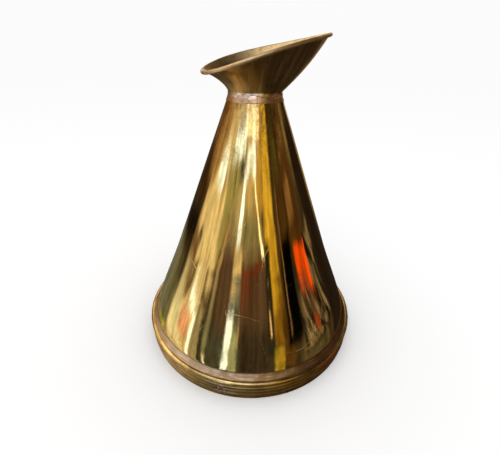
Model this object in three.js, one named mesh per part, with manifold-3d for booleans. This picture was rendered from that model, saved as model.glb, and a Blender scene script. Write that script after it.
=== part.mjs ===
// Conical brass pouring jug of about five litres, in sheet metal.
// A rolled cone stands in a wired foot hoop and is closed below by a flanged plate. A funnel mouth,
// cut on a slant so that it pours at +X, drops into the neck. Its edge is rolled over a wire, and a
// lapped strap covers the joint. Every joint is brazed, and the filler is modelled as pieces of its own.
// Millimetres, +Z up. The origin is the centre of the foot, on the surface that the jug stands on.

import * as THREE from "three";
import { mergeVertices } from "three/addons/utils/BufferGeometryUtils.js";
import Module from "manifold-3d";

// ---- Driving dimensions -------------------------------------------------------------------------

const segments = 60; // facets round every turned piece
const joint_gap = 0.3; // clearance between neighbouring pieces
const wire_gap = 0.2; // clearance between a wire and the sheet rolled over it

const hoop_radius = 126.2; // outside of the foot hoop, at its grooves
const hoop_sheet = 1.2;
const hoop_ridge_rise = 0.9; // how far the ridges stand out
const hoop_ridges = [
  { middle: 0.32, half_height: 0.127 }, // shares of the hoop's straight height
  { middle: 0.59, half_height: 0.116 },
  { middle: 0.86, half_height: 0.074 },
];
const foot_wire_diameter = 2.5;
const bead_centre_z = 21.9; // the hoop's rolled upper edge
const bead_inset = 1.0; // from the hoop's outside to the centre of the roll

const body_top_z = 276.7; // top edge of the cone
const neck_radius = 24.9; // outside of the cone at its top edge
const body_sheet = 0.8;
const cone_foot_z = 9.9; // lower edge of the cone, inside the hoop
const swell_top_z = 118; // from here down to the bead the cone swells past straight sides
const body_swell = 2.8; // by this much, at most
const swell_start = 0.6; // power of the rise from the bead: less than 1 is steep

const plate_top_z = 15.3; // upper face of the bottom plate at its edge
const plate_sheet = 1;
const plate_dish = 1.5; // the plate rises this much to its centre
const plate_bend = 2; // radius of the bend into the flange
const flange_foot_z = 6; // lower edge of the plate's flange

const mouth_sheet = 0.7;
const rim_wire_diameter = 1.4;
const spigot_length = 8; // how far the mouth reaches down inside the neck
const throat_rise = 1.6; // from the cone's top edge to where the mouth begins to flare
const throat_step = 1.15; // the mouth is this much wider there than the cone's top edge, in radius
const mouth_back_reach = 48; // from the axis to the rim, at the low side
const mouth_tip_reach = 72.6; // and at the pouring tip
const mouth_half_width = 46.5;
const mouth_skew = 0.32; // moves the widest place towards the low side
const mouth_back_rise = 13.3; // from the cone's top edge to the rim at the low side, without its lip
const mouth_tip_rise = 49.3; // and to the pouring tip
const mouth_side_rise = 5; // the sides stand this much above a flat slanting cut
const mouth_tip_lift = -3.2; // the sag of the rim towards its tip
const mouth_back_lip = 3.6; // the low side turns up this much at its end
const mouth_tilt = 1.4; // the rim is this much higher towards -Y than level, and lower towards +Y
const mouth_flare = 3.8; // hollow flare of the low side, and swell of the tip side

const strap_height = 6.6;
const strap_sheet = 0.5;
const strap_lap_azimuth = 251; // degrees, where the outer end stops
const strap_lap_angle = 10; // degrees of strap that lie double
const strap_ramp_angle = 20; // degrees over which the outer end climbs

const fillet_rise = 8.1; // from the bead's centre to the fillet's upper edge on the cone
const seam_width = 1.6; // the slot between the two ends of a rolled sheet
const body_seam_azimuth = 90; // degrees
const mouth_seam_azimuth = 180;
const hoop_seam_azimuth = 234;

// ---- Sizes that follow --------------------------------------------------------------------------

const hoop_inside = hoop_radius - hoop_sheet;
const bead_radius = foot_wire_diameter / 2 + wire_gap + hoop_sheet;
const bead_hollow = foot_wire_diameter / 2 + wire_gap;
const bead_centre_r = hoop_radius - bead_inset;
const cone_slope = (hoop_inside - joint_gap - neck_radius) / (body_top_z - cone_foot_z);
const cone_wall = body_sheet * Math.hypot(1, cone_slope); // the cone's thickness, measured level
const rim_hollow = rim_wire_diameter / 2 + wire_gap;
const rim_radius = rim_hollow + mouth_sheet;
const throat_z = body_top_z + throat_rise;
const throat_radius = neck_radius + throat_step;
const mouth_back_z = body_top_z + mouth_back_rise;
const mouth_tip_z = body_top_z + mouth_tip_rise;
const spigot_radius = neck_radius - cone_wall - joint_gap;

const swellShape = (share) => share ** swell_start * (1 - share) ** 2;
const swell_peak = swellShape(swell_start / (swell_start + 2));
const coneSwell = (z) => {
  const share = (z - bead_centre_z) / (swell_top_z - bead_centre_z);
  return share > 0 && share < 1 ? (body_swell * swellShape(share)) / swell_peak : 0;
};
const coneRadius = (z) => neck_radius + (body_top_z - z) * cone_slope + coneSwell(z);
const coneInside = (z) => coneRadius(z) - cone_wall;
const radians = THREE.MathUtils.degToRad;

// Heights at which the cone's side bends, closer together where it bends more.
const swell_steps = 12;
const swell_heights = Array.from(
  { length: swell_steps + 1 },
  (_, i) => bead_centre_z + (swell_top_z - bead_centre_z) * (i / swell_steps) ** 1.6,
);

// ---- Materials ----------------------------------------------------------------------------------

const metal = (color, roughness) => new THREE.MeshStandardMaterial({ color, roughness, metalness: 1 });
const polished_brass = metal(0xd9b04a, 0.12);
const dull_brass = metal(0x9a7434, 0.35);
const foot_brass = metal(0xa57c35, 0.28);
const plate_brass = metal(0x8d6c38, 0.45);
const wire_brass = metal(0xb08a44, 0.4);
const braze_metal = metal(0xb98566, 0.5);

// ---- Solids -------------------------------------------------------------------------------------

const wasm = await Module();
wasm.setup();

// A closed geometry as a solid that can be cut and joined.
function solidOf(geometry) {
  const bare = geometry.clone();
  bare.deleteAttribute("normal");
  bare.deleteAttribute("uv");
  const merged = mergeVertices(bare, 1e-4);
  return new wasm.Manifold(
    new wasm.Mesh({
      numProp: 3,
      vertProperties: new Float32Array(merged.attributes.position.array),
      triVerts: new Uint32Array(merged.index.array),
    }),
  );
}

// A solid back as a geometry, with flat facets.
function geometryOf(solid) {
  const mesh = solid.getMesh();
  const geometry = new THREE.BufferGeometry();
  geometry.setAttribute("position", new THREE.BufferAttribute(new Float32Array(mesh.vertProperties), 3));
  geometry.setIndex(new THREE.BufferAttribute(new Uint32Array(mesh.triVerts), 1));
  const faceted = geometry.toNonIndexed();
  faceted.computeVertexNormals();
  return faceted;
}

// A ring or a disc turned about +Z. The profile is a list of [radius, z] that runs clockwise as it is
// drawn with the radius to the right: up the inner side and down the outer one.
function turned(profile) {
  const points = [...profile, profile[0]].map(([r, z]) => new THREE.Vector2(r, z));
  const geometry = new THREE.LatheGeometry(points.reverse(), segments);
  return geometry.rotateX(Math.PI / 2);
}

// Points on an arc in the profile plane, from one angle in degrees to another.
function arc(centre_r, centre_z, radius, from, to, steps) {
  return Array.from({ length: steps + 1 }, (_, i) => {
    const a = radians(from + ((to - from) * i) / steps);
    return [centre_r + radius * Math.cos(a), centre_z + radius * Math.sin(a)];
  });
}

// A skin over a list of rings that follow each other counter-clockwise about +Z. Each ring is a loop of
// Vector3 that runs up its outer side. A closed loft joins its last ring to its first, and an open one,
// of four points a ring, is capped at both ends.
function loft(rings, closed) {
  const count = rings[0].length;
  const positions = rings.flat().flatMap((p) => [p.x, p.y, p.z]);
  const index = [];
  const spans = closed ? rings.length : rings.length - 1;
  for (let i = 0; i < spans; i++) {
    const a = i * count;
    const b = ((i + 1) % rings.length) * count;
    for (let j = 0; j < count; j++) {
      const k = (j + 1) % count;
      index.push(a + j, b + j, b + k, a + j, b + k, a + k);
    }
  }
  if (!closed) {
    const last = (rings.length - 1) * count;
    index.push(0, 1, 2, 0, 2, 3);
    index.push(last, last + 2, last + 1, last, last + 3, last + 2);
  }
  const geometry = new THREE.BufferGeometry();
  geometry.setAttribute("position", new THREE.Float32BufferAttribute(positions, 3));
  geometry.setIndex(index);
  geometry.computeVertexNormals();
  return geometry;
}

// A radial slab that reaches from inner to outer along one azimuth, for cutting a seam.
function slab(azimuth, width, inner, outer, low, high) {
  const box = new THREE.BoxGeometry(outer - inner, width, high - low);
  box.translate((inner + outer) / 2, 0, (low + high) / 2);
  return solidOf(box.rotateZ(radians(azimuth)));
}

// The two ends of a rolled sheet with a seam between them, and the strip of filler in the seam.
function seamed(geometry, azimuth, reach, filler) {
  const whole = solidOf(geometry);
  const [inner, outer, low, high] = reach;
  const strip_width = seam_width - 2 * joint_gap;
  return {
    sheet: geometryOf(whole.subtract(slab(azimuth, seam_width, inner, outer, low, high))),
    strip: geometryOf(whole.intersect(slab(azimuth, strip_width, ...filler))),
  };
}

// ---- Foot ---------------------------------------------------------------------------------------

// Hoop: a ridged strip with its upper edge rolled over a wire, inwards and round to the outside.
function hoopProfile() {
  const curl_start = 260;
  const curl_end = -50;
  const shoulder_z = bead_centre_z - bead_radius - 0.3;
  const wall_in = [
    [hoop_inside, 0],
    [hoop_inside, shoulder_z],
  ];
  const curl_out = arc(bead_centre_r, bead_centre_z, bead_radius, curl_start, curl_end, 12);
  const curl_in = arc(bead_centre_r, bead_centre_z, bead_hollow, curl_end, curl_start + 20, 9);
  const outside = [[hoop_radius, shoulder_z]];
  for (const ridge of [...hoop_ridges].reverse()) {
    for (const [step, rise] of [[1, 0], [0.5, 0.8], [0, 1], [-0.5, 0.8], [-1, 0]]) {
      const z = (ridge.middle + ridge.half_height * step) * shoulder_z;
      outside.push([hoop_radius + hoop_ridge_rise * rise, z]);
    }
  }
  return [...wall_in, ...curl_out, ...curl_in, ...outside, [hoop_radius, 0]];
}

function foot() {
  const outermost = bead_centre_r + bead_radius + 1;
  const reach = [hoop_inside - 8, outermost, -1, bead_centre_z + bead_radius + 1];
  const hoop = seamed(turned(hoopProfile()), hoop_seam_azimuth, reach, reach);
  const wire = turned(arc(bead_centre_r, bead_centre_z, foot_wire_diameter / 2, 180, -135, 7));
  return { hoop, wire };
}

// Sloping ring of braze that fills the corner between the cone and the rolled bead.
function footFillet() {
  const clear = bead_radius + joint_gap;
  const side_gap = joint_gap * Math.hypot(1, cone_slope);
  const low_z = bead_centre_z - 2.3;
  const high_z = bead_centre_z + fillet_rise;
  const against_bead = arc(bead_centre_r, bead_centre_z, clear, 116, 231, 4);
  const [outer_r, outer_z] = against_bead[0];
  const upper_r = coneRadius(high_z) + side_gap;
  const hollow = 0.35; // how far the surface sinks below a straight slope
  const beside_cone = [low_z, ...swell_heights.filter((z) => z > low_z && z < high_z - 1), high_z];
  return turned([
    ...beside_cone.map((z) => [coneRadius(z) + side_gap, z]),
    [(upper_r + outer_r) / 2, (high_z + outer_z) / 2 - hollow],
    ...against_bead,
  ]);
}

// Bottom plate: a shallow dish with its edge turned down inside the cone.
function basePlate() {
  const edge = coneInside(plate_top_z) - joint_gap;
  const half = edge / 2;
  const under_z = plate_top_z - plate_sheet;
  const inner_bend = plate_bend - plate_sheet;
  const bend_r = edge - plate_bend;
  const bend_z = plate_top_z - plate_bend;
  return turned([
    [0, under_z + plate_dish],
    [0, plate_top_z + plate_dish],
    [half, plate_top_z + plate_dish * 0.75],
    ...arc(bend_r, bend_z, plate_bend, 90, 0, 3),
    [edge, flange_foot_z],
    [edge - plate_sheet, flange_foot_z],
    ...arc(bend_r, bend_z, inner_bend, 0, 90, 2),
    [half, under_z + plate_dish * 0.75],
  ]);
}

// Ring of braze under the cone's edge, between the plate's flange and the hoop.
function baseFillet() {
  const inner = coneInside(plate_top_z);
  const outer = hoop_inside - joint_gap;
  const high = cone_foot_z - joint_gap;
  return turned([
    [inner, high - 2.4],
    [inner, high],
    [outer, high],
    [outer, high - 3.2],
    [(inner + outer) / 2, high - 2.2],
  ]);
}

// ---- Body ---------------------------------------------------------------------------------------

// Cone of rolled sheet, swelling a little above the foot, with a seam down one side.
function body() {
  const heights = [cone_foot_z, ...swell_heights, body_top_z];
  const inside = heights.map((z) => [coneInside(z), z]);
  const outside = heights.map((z) => [coneRadius(z), z]).reverse();
  const cone = turned([...inside, ...outside]);
  const reach = [neck_radius / 3, hoop_radius + 4, cone_foot_z - 2, body_top_z + 2];
  return seamed(cone, body_seam_azimuth, reach, reach);
}

// ---- Mouth --------------------------------------------------------------------------------------

// The rim's outline: an egg on a slanting cut, with t = 0 at the pouring tip.
function rimPoint(t) {
  const c = Math.cos(t);
  const x = (mouth_tip_reach - mouth_back_reach) / 2 + ((mouth_tip_reach + mouth_back_reach) / 2) * c;
  const y = mouth_half_width * Math.sin(t) * (1 - mouth_skew * c);
  const level = (mouth_back_z + mouth_tip_z) / 2 + ((mouth_tip_z - mouth_back_z) / 2) * c;
  const sides = (mouth_side_rise + mouth_tip_lift * c) * (1 - c * c);
  const lip = mouth_back_lip * ((1 - c) / 2) ** 4;
  return new THREE.Vector3(x, y, level + sides + lip - mouth_tilt * Math.sin(t));
}

// The wall between the throat and the rim, at a share s of the way up.
function wallPoint(t, s) {
  const start = new THREE.Vector3(throat_radius * Math.cos(t), throat_radius * Math.sin(t), throat_z);
  const point = start.lerp(rimPoint(t), s);
  const swell = mouth_flare * Math.cos(t) * 4 * s * (1 - s);
  const level = Math.hypot(point.x, point.y);
  point.x *= 1 + swell / level;
  point.y *= 1 + swell / level;
  return point;
}

// Direction up the wall, and the direction out of it, at a share s.
function wallFrame(t, s) {
  const step = 1e-3;
  const up = wallPoint(t, s + step).sub(wallPoint(t, s - step)).normalize();
  const along = wallPoint(t + step, s).sub(wallPoint(t - step, s)).normalize();
  const out = along.cross(up).normalize();
  return { up, out };
}

// The centre of the rolled edge.
function rollCentre(t) {
  const { up, out } = wallFrame(t, 1);
  return { centre: wallPoint(t, 1).addScaledVector(out, rim_hollow), up, out };
}

// A point on the roll: turn 0 is the wall itself, and 90 is the top of the roll.
function rollPoint({ centre, up, out }, radius, turn) {
  const a = radians(turn);
  return centre
    .clone()
    .addScaledVector(out, -radius * Math.cos(a))
    .addScaledVector(up, radius * Math.sin(a));
}

// One section of the mouth, from the spigot up the outside, round the roll and down the inside.
function mouthSection(t) {
  const shares = [0, 0.25, 0.5, 0.75];
  const turns = [0, 40, 80, 120, 160, 205, 250, 290];
  const flat = (r, z) => new THREE.Vector3(r * Math.cos(t), r * Math.sin(t), z);
  const bend_z = body_top_z + 0.2;
  const spigot_foot = body_top_z - spigot_length;
  const roll = rollCentre(t);
  const outside = shares.map((s) => wallPoint(t, s));
  const inside = shares.map((s) => {
    const { out } = wallFrame(t, s + 1e-3);
    return wallPoint(t, s).addScaledVector(out, -mouth_sheet);
  });
  return [
    flat(spigot_radius, spigot_foot),
    flat(spigot_radius, bend_z),
    ...outside,
    ...turns.map((turn) => rollPoint(roll, rim_hollow, turn)),
    ...[...turns].reverse().map((turn) => rollPoint(roll, rim_radius, turn)),
    ...inside.reverse(),
    flat(spigot_radius - mouth_sheet, bend_z + mouth_sheet / 2),
    flat(spigot_radius - mouth_sheet, spigot_foot),
  ];
}

const roundAngles = Array.from({ length: segments }, (_, i) => (2 * Math.PI * i) / segments);

function mouth() {
  const funnel = loft(roundAngles.map(mouthSection), true);
  const low = body_top_z - spigot_length - 1;
  const outer = mouth_back_reach + 8;
  const reach = [throat_radius / 3, outer, low, mouth_tip_z];
  const filler = [throat_radius / 3, mouth_back_reach - 2 * rim_radius, low, mouth_tip_z];
  return seamed(funnel, mouth_seam_azimuth, reach, filler);
}

function rimWire() {
  const sides = 8;
  const rings = roundAngles.map((t) => {
    const roll = rollCentre(t);
    return Array.from({ length: sides }, (_, i) => rollPoint(roll, rim_wire_diameter / 2, (-360 * i) / sides));
  });
  return loft(rings, true);
}

// ---- Neck ---------------------------------------------------------------------------------------

const strap_top_z = body_top_z - 0.3;
const strap_foot_z = strap_top_z - strap_height;

// Strap round the joint of cone and mouth. Its outer end climbs over its inner one.
function neckStrap() {
  const turn = 360 + strap_lap_angle;
  const steps = Math.round((turn * segments) / 360) + 2;
  const climb = strap_sheet + joint_gap;
  const side_gap = joint_gap * Math.hypot(1, cone_slope);
  const rings = Array.from({ length: steps + 1 }, (_, i) => {
    const travelled = (turn * i) / steps;
    const a = radians(strap_lap_azimuth - turn + travelled);
    const ramp = THREE.MathUtils.smoothstep(travelled, turn - strap_lap_angle - strap_ramp_angle, turn - strap_lap_angle);
    const at = (z, extra) => {
      const r = coneRadius(z) + side_gap + climb * ramp + extra;
      return new THREE.Vector3(r * Math.cos(a), r * Math.sin(a), z);
    };
    return [at(strap_foot_z, 0), at(strap_foot_z, strap_sheet), at(strap_top_z, strap_sheet), at(strap_top_z, 0)];
  });
  return loft(rings, false);
}

// Bead of braze on the strap's upper edge, under the mouth.
function neckBead() {
  const low_z = strap_top_z + joint_gap + 0.1;
  const inner = neck_radius + joint_gap;
  const outer = throat_radius + 0.7;
  const high_z = throat_z - 0.1;
  return turned([
    [inner, low_z],
    [inner, low_z + 0.5],
    [throat_radius + 0.3, high_z],
    [outer, high_z - 0.4],
    [outer, low_z + 0.3],
    [outer - 0.7, low_z - 0.05],
  ]);
}

// ---- Assembly -----------------------------------------------------------------------------------

const jug = new THREE.Group();

function add(name, geometry, material) {
  const mesh = new THREE.Mesh(geometry, material);
  mesh.name = name;
  jug.add(mesh);
}

const foot_pieces = foot();
add("foot_hoop", foot_pieces.hoop.sheet, foot_brass);
add("foot_hoop_joint_braze", foot_pieces.hoop.strip, braze_metal);
add("foot_bead_wire", foot_pieces.wire, wire_brass);
add("foot_braze_fillet", footFillet(), braze_metal);
add("base_plate", basePlate(), plate_brass);
add("base_plate_braze", baseFillet(), braze_metal);

const body_pieces = body();
add("body_cone", body_pieces.sheet, polished_brass);
add("body_seam_braze", body_pieces.strip, braze_metal);

const mouth_pieces = mouth();
add("mouth_funnel", mouth_pieces.sheet, dull_brass);
add("mouth_seam_braze", mouth_pieces.strip, braze_metal);
add("rim_wire", rimWire(), wire_brass);

add("neck_strap", neckStrap(), braze_metal);
add("neck_braze_bead", neckBead(), braze_metal);

export default jug;
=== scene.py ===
"""A conical jug of polished sheet brass: wired foot hoop, rolled cone, strapped neck, slanted funnel mouth.

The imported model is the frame. Each section below makes one piece of the jug over its CAD node.
"""

import bpy
from math import cos, hypot, pi, radians, sin, tau
from mathutils import Matrix, Vector, noise


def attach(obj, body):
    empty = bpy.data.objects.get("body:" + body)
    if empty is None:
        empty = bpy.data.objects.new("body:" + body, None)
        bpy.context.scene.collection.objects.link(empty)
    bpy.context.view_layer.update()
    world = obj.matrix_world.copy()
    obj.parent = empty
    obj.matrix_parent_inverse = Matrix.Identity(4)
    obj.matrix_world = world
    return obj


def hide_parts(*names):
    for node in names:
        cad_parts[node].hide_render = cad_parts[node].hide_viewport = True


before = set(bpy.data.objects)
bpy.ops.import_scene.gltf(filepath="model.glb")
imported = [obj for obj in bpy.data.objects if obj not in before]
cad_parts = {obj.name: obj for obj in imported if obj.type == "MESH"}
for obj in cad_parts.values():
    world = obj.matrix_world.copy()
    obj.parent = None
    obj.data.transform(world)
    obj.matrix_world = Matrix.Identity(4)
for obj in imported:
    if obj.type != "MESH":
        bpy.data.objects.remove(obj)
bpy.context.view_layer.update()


# ---- Camera ---------------------------------------------------------------------------------------
# It is held close, an arm's length from the jug and level with its mouth, and looks down on the foot.
# The lens is short, so the wide foot looks small under the mouth.

CAMERA_PLACE = (-0.1263, -0.2838, 0.3019)
CAMERA_TURN, CAMERA_TILT, CAMERA_ROLL = radians(-23.6), radians(61.07), radians(1.25)

bpy.ops.object.camera_add()
camera = bpy.context.object
camera.name = "camera"
camera.data.sensor_width = 36
camera.data.lens = 21.6
camera.data.clip_start = 0.01
camera.matrix_world = (
    Matrix.Translation(CAMERA_PLACE)
    @ Matrix.Rotation(CAMERA_TURN, 4, "Z")
    @ Matrix.Rotation(CAMERA_TILT, 4, "X")
    @ Matrix.Rotation(CAMERA_ROLL, 4, "Z")
)
bpy.context.scene.camera = camera
bpy.context.scene.view_settings.view_transform = "Standard"


# ---- Foot hoop ------------------------------------------------------------------------------------
# A strip of brass bent into a ring round the foot. Ridges are rolled into it, and its upper edge is
# curled over a wire. It is left duller than the body, with old polish on its curl and ridges, and patches
# of dirt.

MM = 0.001
HOOP_RADIUS = 126.2
HOOP_SHEET = 1.2
HOOP_INSIDE = HOOP_RADIUS - HOOP_SHEET
HOOP_ROLL = (125.2, 21.9)  # centre of the curl, as radius and height
HOOP_ROLL_RADIUS = 2.65
RIDGE_RISE = 0.9
RIDGES = ((6.05, 2.4), (11.15, 2.2), (16.25, 1.4))  # height of the middle, and half the height


def arc(centre, radius, start, end, steps):
    """Points on an arc in the profile plane, between two angles in degrees."""
    turns = [radians(start + (end - start) * i / steps) for i in range(steps + 1)]
    return [(centre[0] + radius * cos(a), centre[1] + radius * sin(a)) for a in turns]


def divided(start, end, steps):
    """Points along a straight line, without its end."""
    return [tuple(a + (b - a) * i / steps for a, b in zip(start, end)) for i in range(steps)]


def begin(name):
    """A single point at the origin, in edit mode, for a profile to be drawn from."""
    bpy.ops.object.select_all(action="DESELECT")
    bpy.ops.mesh.primitive_plane_add(size=MM)
    piece = bpy.context.object
    piece.name = piece.data.name = name
    bpy.ops.object.mode_set(mode="EDIT")
    bpy.ops.mesh.select_mode(type="VERT")
    bpy.ops.mesh.select_all(action="SELECT")
    bpy.ops.mesh.merge(type="CENTER")
    return piece


def turned(name, profile, steps=240):
    """A ring or disc spun about the jug's axis from a closed outline of (radius, height) points."""
    piece = begin(name)
    here = (0, 0)
    for count, point in enumerate(profile):
        step = ((point[0] - here[0]) * MM, 0, (point[1] - here[1]) * MM)
        if count == 0:
            bpy.ops.transform.translate(value=step)
        else:
            bpy.ops.mesh.extrude_region_move(TRANSFORM_OT_translate={"value": step})
        here = point
    bpy.ops.object.mode_set(mode="OBJECT")
    ends = (0, len(profile) - 1)
    for vertex in piece.data.vertices:
        vertex.select = vertex.index in ends
    bpy.ops.object.mode_set(mode="EDIT")
    bpy.ops.mesh.edge_face_add()
    bpy.ops.mesh.select_all(action="SELECT")
    bpy.ops.mesh.spin(steps=steps, angle=tau, center=(0, 0, 0), axis=(0, 0, 1))
    bpy.ops.mesh.select_all(action="SELECT")
    bpy.ops.mesh.remove_doubles(threshold=0.01 * MM)
    bpy.ops.mesh.normals_make_consistent(inside=False)
    bpy.ops.object.mode_set(mode="OBJECT")
    return piece


def smooth(piece, angle=35):
    """Smooth shading, with sharp edges where the surface turns by more than the angle."""
    bpy.ops.object.select_all(action="DESELECT")
    piece.select_set(True)
    bpy.context.view_layer.objects.active = piece
    bpy.ops.object.shade_smooth_by_angle(angle=radians(angle))


def uneven(piece, depth, grain):
    """Raises and sinks the surface by about half the depth, in lumps of the given grain, in millimetres."""
    texture = bpy.data.textures.new(piece.name + "_lumps", "CLOUDS")
    texture.noise_scale = grain * MM
    texture.noise_depth = 2
    lumps = piece.modifiers.new("lumps", "DISPLACE")
    lumps.texture = texture
    lumps.texture_coords = "LOCAL"
    lumps.strength = depth * MM
    lumps.mid_level = 0.5
    bpy.context.view_layer.objects.active = piece
    bpy.ops.object.modifier_apply(modifier=lumps.name)


class Value:
    """One output of a finish's nodes. Sums and products of values are worked out by Math nodes."""

    def __init__(self, tree, socket):
        self.tree, self.socket = tree, socket

    def maths(self, operation, *terms):
        node = self.tree.nodes.new("ShaderNodeMath")
        node.operation = operation
        for socket, term in zip(node.inputs, terms):
            join(self.tree, term, socket)
        return Value(self.tree, node.outputs[0])

    def __add__(self, other):
        return self.maths("ADD", self, other)

    def __radd__(self, other):
        return self.maths("ADD", other, self)

    def __sub__(self, other):
        return self.maths("SUBTRACT", self, other)

    def __rsub__(self, other):
        return self.maths("SUBTRACT", other, self)

    def __mul__(self, other):
        return self.maths("MULTIPLY", self, other)

    def __rmul__(self, other):
        return self.maths("MULTIPLY", other, self)

    def __truediv__(self, other):
        return self.maths("DIVIDE", self, other)

    def __pow__(self, other):
        return self.maths("POWER", self, other)

    def __abs__(self):
        return self.maths("ABSOLUTE", self)


def join(tree, value, socket):
    """Links a value to a socket, or sets the socket to a number or colour."""
    if isinstance(value, Value):
        tree.links.new(value.socket, socket)
    elif hasattr(value, "__len__") and len(value) == 3 and socket.type == "RGBA":
        socket.default_value = (*value, 1)
    else:
        socket.default_value = value


class Nodes:
    """A node tree, with a method for any node and a few for the patterns that the finishes share."""

    def __init__(self, tree):
        self.tree = tree

    def node(self, kind, sockets, output=0, **settings):
        node = self.tree.nodes.new("ShaderNode" + kind)
        for setting, value in settings.items():
            setattr(node, setting, value)
        for name, value in sockets.items():
            join(self.tree, value, node.inputs[name])
        return Value(self.tree, node.outputs[output])

    def parts(self, vector):
        """The x, y and z of a vector."""
        node = self.tree.nodes.new("ShaderNodeSeparateXYZ")
        join(self.tree, vector, node.inputs[0])
        return [Value(self.tree, socket) for socket in node.outputs]

    def vector(self, x, y, z):
        return self.node("CombineXYZ", {"X": x, "Y": y, "Z": z})

    def mix(self, amount, first, second):
        """One colour fading to another as the amount goes from 0 to 1."""
        return self.node("Mix", {0: amount, 6: first, 7: second}, output=2, data_type="RGBA")

    def step(self, value, low, high, start=0.0, end=1.0):
        """Rises smoothly from start to end as the value goes from low to high."""
        sockets = {"Value": value, "From Min": low, "From Max": high, "To Min": start, "To Max": end}
        return self.node("MapRange", sockets, interpolation_type="SMOOTHSTEP")

    def cloud(self, where, scale, detail=3.0, rough=0.55):
        sockets = {"Vector": where, "Scale": scale, "Detail": detail, "Roughness": rough}
        return self.node("TexNoise", sockets)


class Finish(Nodes):
    """A metal's material. Fixed settings go on the shader itself, and patterns are joined to it."""

    def __init__(self, name, **fixed):
        self.material = bpy.data.materials.new(name)
        self.material.use_nodes = True
        super().__init__(self.material.node_tree)
        self.shader = self.tree.nodes["Principled BSDF"]
        self.shader.inputs["Metallic"].default_value = 1
        for name, value in fixed.items():
            join(self.tree, value, self.shader.inputs[name])
        self.place = self.node("TexCoord", {}, output=3)
        self.x, self.y, self.z = self.parts(self.place)
        self.radius = (self.x * self.x + self.y * self.y) ** 0.5
        self.azimuth = self.node("Math", {0: self.y, 1: self.x}, operation="ARCTAN2")

    def around(self, turns, rise):
        """Coordinates that run round the jug and up it, closed where the azimuth jumps."""
        return self.vector(self.x / self.radius * turns, self.y / self.radius * turns, self.z * rise)

    def set(self, **sockets):
        for name, value in sockets.items():
            join(self.tree, value, self.shader.inputs[name.replace("_", " ")])

    def relief(self, height, depth, strength=1.0):
        """Bumps of the given depth in millimetres where the height goes from 0 to 1."""
        sockets = {"Height": height, "Distance": depth * MM, "Strength": strength}
        self.set(Normal=self.node("Bump", sockets))

    def pits(self, scale, share, size):
        """Small round marks in a share of the cells of a honeycomb, as a mask."""
        cells = self.tree.nodes.new("ShaderNodeTexVoronoi")
        join(self.tree, self.place, cells.inputs["Vector"])
        cells.inputs["Scale"].default_value = scale
        far, colour = Value(self.tree, cells.outputs["Distance"]), Value(self.tree, cells.outputs["Color"])
        chosen = self.node("Math", {0: self.parts(colour)[0], 1: share}, operation="LESS_THAN")
        return self.step(far, size, size * 0.5) * chosen

    def hairlines(self, where, scale, width, seed):
        """Long thin scratches: the contour lines of a slow noise, broken up by another."""
        shift = self.node("VectorMath", {0: where, 1: (seed, seed * 1.7, seed * 0.6)}, operation="ADD")
        slow = self.cloud(shift, scale, detail=0.5)
        line = self.step(abs(self.node("Math", {0: slow * 9}, operation="FRACT") - 0.5), width, 0)
        return line * self.step(self.cloud(shift, scale * 3.1, detail=1), 0.52, 0.6)


def hoop_outline():
    """The hoop's section, from its lower inner edge up the inside, round the curl and down the outside."""
    shoulder = HOOP_ROLL[1] - HOOP_ROLL_RADIUS - 0.3
    inside = divided((HOOP_INSIDE, 0.3), (HOOP_INSIDE, shoulder), 6)
    curl = arc(HOOP_ROLL, HOOP_ROLL_RADIUS, 260, -50, 34)
    hollow = arc(HOOP_ROLL, HOOP_ROLL_RADIUS - HOOP_SHEET, -50, 280, 24)
    outside = [(HOOP_RADIUS, shoulder)]
    for middle, half in reversed(RIDGES):
        for i in range(11):
            lean = 1 - i / 5
            outside.append((HOOP_RADIUS + RIDGE_RISE * (0.5 + 0.5 * cos(lean * pi)), middle + half * lean))
    foot = [(HOOP_RADIUS, 0.3), (HOOP_RADIUS - 0.3, 0), (HOOP_INSIDE + 0.3, 0)]
    return inside + curl + hollow + outside + foot


hoop = turned("hoop", hoop_outline())
uneven(hoop, 0.16, 14)
smooth(hoop)

hoop_brass = Finish("hoop_brass")
stain = hoop_brass.cloud(hoop_brass.around(6, 90), 1.2, detail=6)
grain = hoop_brass.cloud(hoop_brass.place, 900, detail=4)
proud = hoop_brass.step(hoop_brass.radius, 0.1264, 0.1271)
on_curl = hoop_brass.step(hoop_brass.z, 0.0192, 0.0212)
rubbed = hoop_brass.node("Math", {0: on_curl, 1: proud * 0.15}, operation="MAXIMUM")
tarnish = hoop_brass.mix(hoop_brass.step(stain, 0.35, 0.7), (0.5, 0.355, 0.15), (0.27, 0.175, 0.08))
bright = hoop_brass.mix(hoop_brass.step(stain, 0.36, 0.68), (1.0, 0.78, 0.36), (0.6, 0.39, 0.16))
dirt = hoop_brass.step(stain + (grain - 0.5) * 0.5, 0.62, 0.76) * (1 - on_curl * 0.6)
metal = hoop_brass.mix(rubbed, tarnish, bright)
hoop_brass.set(
    Base_Color=hoop_brass.mix(dirt * 0.75, metal, (0.07, 0.045, 0.025)),
    Roughness=0.4 - rubbed * 0.18 + dirt * 0.2 + (grain - 0.5) * 0.12,
)
hoop_brass.relief(grain * 0.6 + stain, 0.12, 0.5)
hoop.data.materials.append(hoop_brass.material)
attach(hoop, "root")
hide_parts("foot_hoop")


# ---- Hoop joint -----------------------------------------------------------------------------------
# Where the two ends of the hoop meet, the brazer ran filler over the joint and left it as it lay.
# It is a pinkish smear over the ridges, with dark sooty patches.

JOINT_AZIMUTH = radians(234)
JOINT_WIDTH = 11
JOINT_FOOT, JOINT_TOP = 1.2, 17.8


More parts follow.
